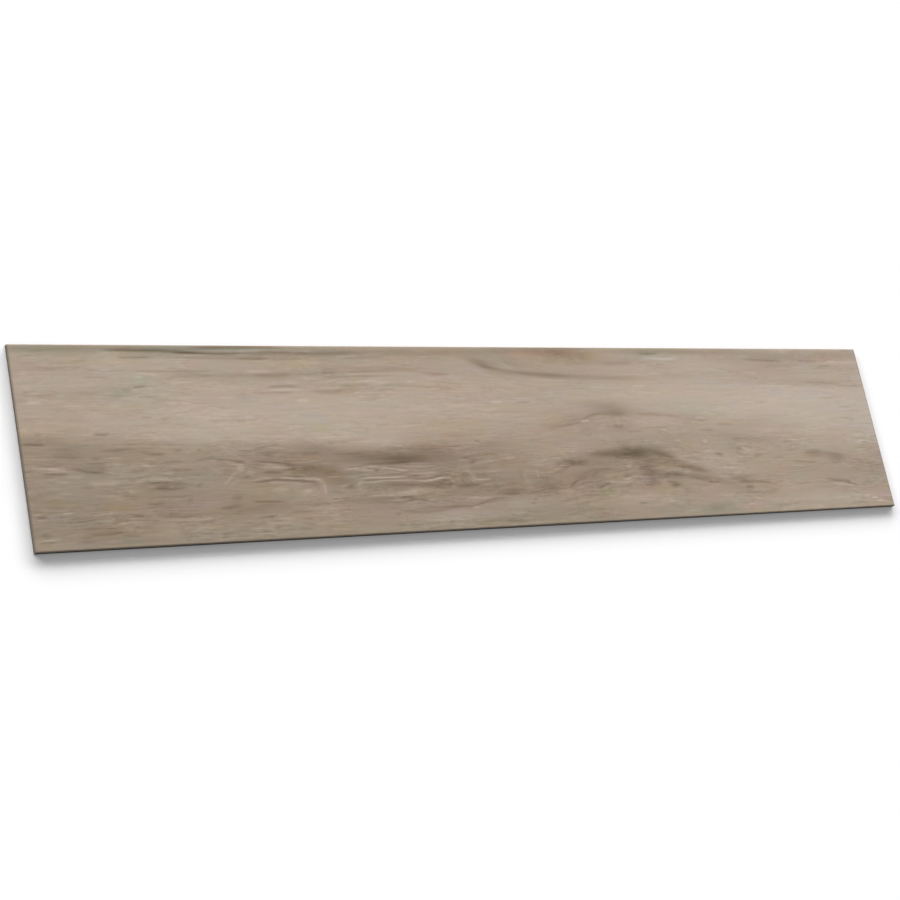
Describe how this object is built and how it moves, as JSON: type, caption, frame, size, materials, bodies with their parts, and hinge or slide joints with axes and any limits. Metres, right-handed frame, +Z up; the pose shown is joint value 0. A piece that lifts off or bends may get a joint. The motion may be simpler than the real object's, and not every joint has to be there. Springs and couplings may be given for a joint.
{
  "type": "vinyl floor tile",
  "caption": "Flat wood-look vinyl floor tile in plank form, with square-cut dark edges and a narrow bevel round its printed face.",
  "frame": {"origin": "middle of the back face, where the tile lies on the floor", "axes": "+X along the plank and the grain, +Y across it, +Z up out of the printed face"},
  "size_m": [1.2192, 0.2286, 0.005],
  "materials": {
    "printed_vinyl": "matt embossed greige wood print on a nearly black vinyl body"
  },
  "bodies": {
    "root": {"floor_tile": "printed_vinyl"}
  },
  "joints": []
}
